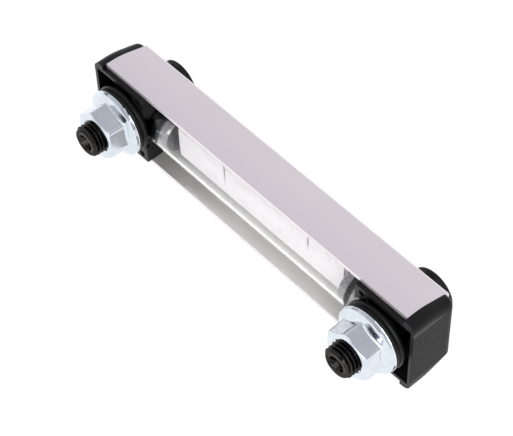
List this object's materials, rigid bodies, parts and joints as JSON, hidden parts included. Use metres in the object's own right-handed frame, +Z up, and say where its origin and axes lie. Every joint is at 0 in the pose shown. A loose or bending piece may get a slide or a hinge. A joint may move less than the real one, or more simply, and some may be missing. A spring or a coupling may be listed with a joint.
{
  "type": "tank level gauge",
  "caption": "Oil sight gauge: clear tube in an open aluminium channel with ribbed end caps, held to a tank wall by hollow bolts.",
  "frame": {"origin": "halfway between the two bolts, on the tank wall's outer face, which the rear seals stand on", "axes": "+Z up the gauge, +Y into the tank along the bolts, +X across the gauge, to the right for a viewer in front of it at -Y"},
  "size_m": [0.0344, 0.0442, 0.158],
  "materials": {
    "channel": "satin anodised",
    "cap": "moulded matt",
    "tube": "clear polished",
    "strip": "matt white",
    "head": "turned and milled",
    "ring": "matt",
    "seal": "satin",
    "bolt": "black oxide",
    "nut": "bright zinc"
  },
  "bodies": {
    "root": {"housing_channel": "channel", "end_cap_top": "cap", "end_cap_bottom": "cap", "sight_tube": "tube", "contrast_strip": "strip", "tube_head_top": "head", "tube_head_bottom": "head", "tube_o_ring_top": "ring", "tube_o_ring_bottom": "ring", "bolt_o_ring_top": "ring", "bolt_o_ring_bottom": "ring", "rear_seal_top": "seal", "rear_seal_bottom": "seal", "hollow_bolt_top": "bolt", "hollow_bolt_bottom": "bolt", "flange_nut_top": "nut", "flange_nut_bottom": "nut"}
  },
  "joints": []
}
